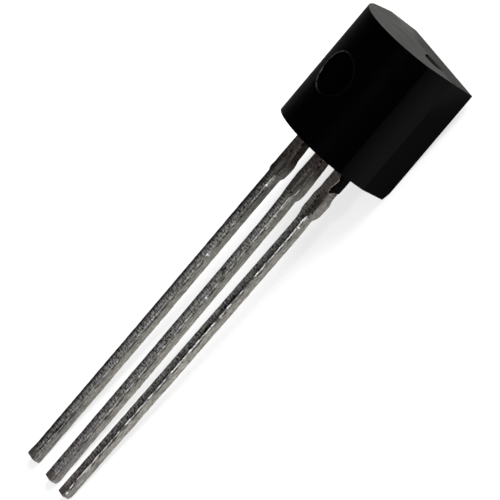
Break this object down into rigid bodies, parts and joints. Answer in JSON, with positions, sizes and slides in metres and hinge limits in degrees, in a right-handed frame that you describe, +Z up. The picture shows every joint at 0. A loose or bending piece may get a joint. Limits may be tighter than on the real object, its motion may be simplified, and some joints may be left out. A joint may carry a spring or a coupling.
{
  "type": "to-92 transistor",
  "caption": "Small transistor: a black moulded case with a flat side and a round back, on long flat tinned leads in one row, lying on its flat side.",
  "frame": {"origin": "middle of the footprint that the transistor covers as it lies, on the surface that it lies on", "axes": "+Z up from the table; +Y from the lead tips towards the top of the case; +X towards the right lead, with the case lying on its flat side"},
  "size_m": [0.0046, 0.0194, 0.0038],
  "materials": {
    "resin": "satin",
    "tinned_leads": "satin",
    "silicon": "polished",
    "solder": "satin",
    "gold_wire": "polished"
  },
  "bodies": {
    "root": {"case": "resin", "lead_left": "tinned_leads", "lead_middle": "tinned_leads", "lead_right": "tinned_leads", "chip": "silicon", "chip_solder": "solder", "wire_left": "gold_wire", "wire_right": "gold_wire"}
  },
  "joints": []
}
